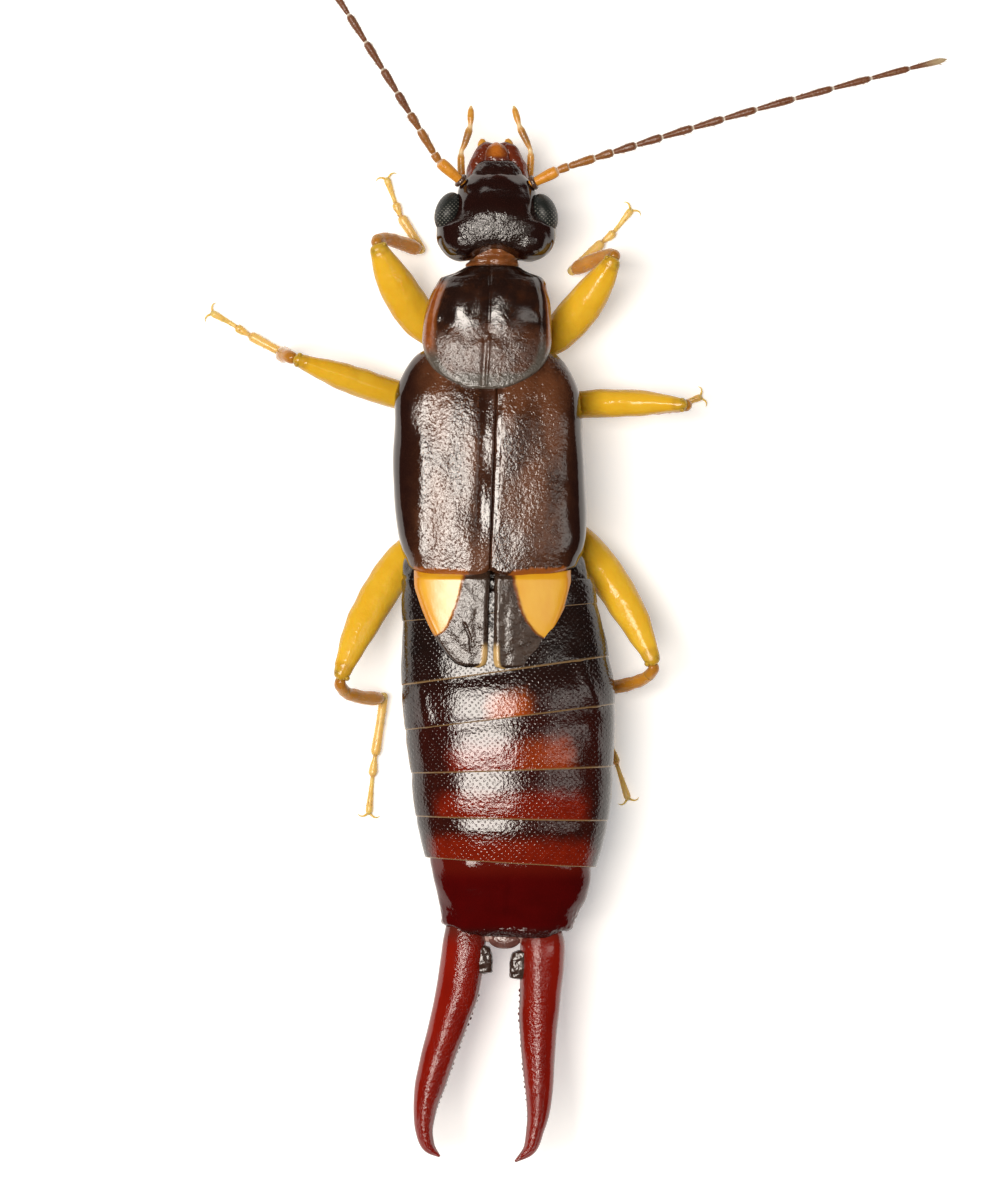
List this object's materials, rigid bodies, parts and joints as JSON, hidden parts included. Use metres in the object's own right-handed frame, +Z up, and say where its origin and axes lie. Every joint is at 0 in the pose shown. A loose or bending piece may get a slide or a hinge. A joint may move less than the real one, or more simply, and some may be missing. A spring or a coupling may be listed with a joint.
{
  "type": "earwig",
  "caption": "Earwig standing on all its legs, with folded wings under short wing cases, beaded antennae and long toothed forceps behind.",
  "frame": {"origin": "on the floor, under the middle of the outline seen from above", "axes": "+Y toward the head, +X toward the animal's right side, +Z up from the floor"},
  "size_m": [0.0134, 0.0238, 0.0025],
  "materials": {
    "dark_chitin": "glossy",
    "neck": "satin",
    "wing_case": "satin",
    "wing_tip": "satin",
    "abdomen": "satin",
    "forceps": "glossy",
    "leg": "satin",
    "antenna": "satin",
    "palp": "satin",
    "eye": "glossy"
  },
  "bodies": {
    "root": {"abdomen": "abdomen", "antenna_left": "antenna", "antenna_right": "antenna", "eye_left": "eye", "eye_right": "eye", "forceps_left": "forceps", "forceps_right": "forceps", "head": "dark_chitin", "last_segment": "abdomen", "leg_front_left": "leg", "leg_front_right": "leg", "leg_hind_left": "leg", "leg_hind_right": "leg", "leg_mid_left": "leg", "leg_mid_right": "leg", "neck": "neck", "palp_left": "palp", "palp_right": "palp", "pronotum": "dark_chitin", "tegmen_left": "wing_case", "tegmen_right": "wing_case", "thorax": "dark_chitin", "wing_tip_left": "wing_tip", "wing_tip_right": "wing_tip"}
  },
  "joints": []
}
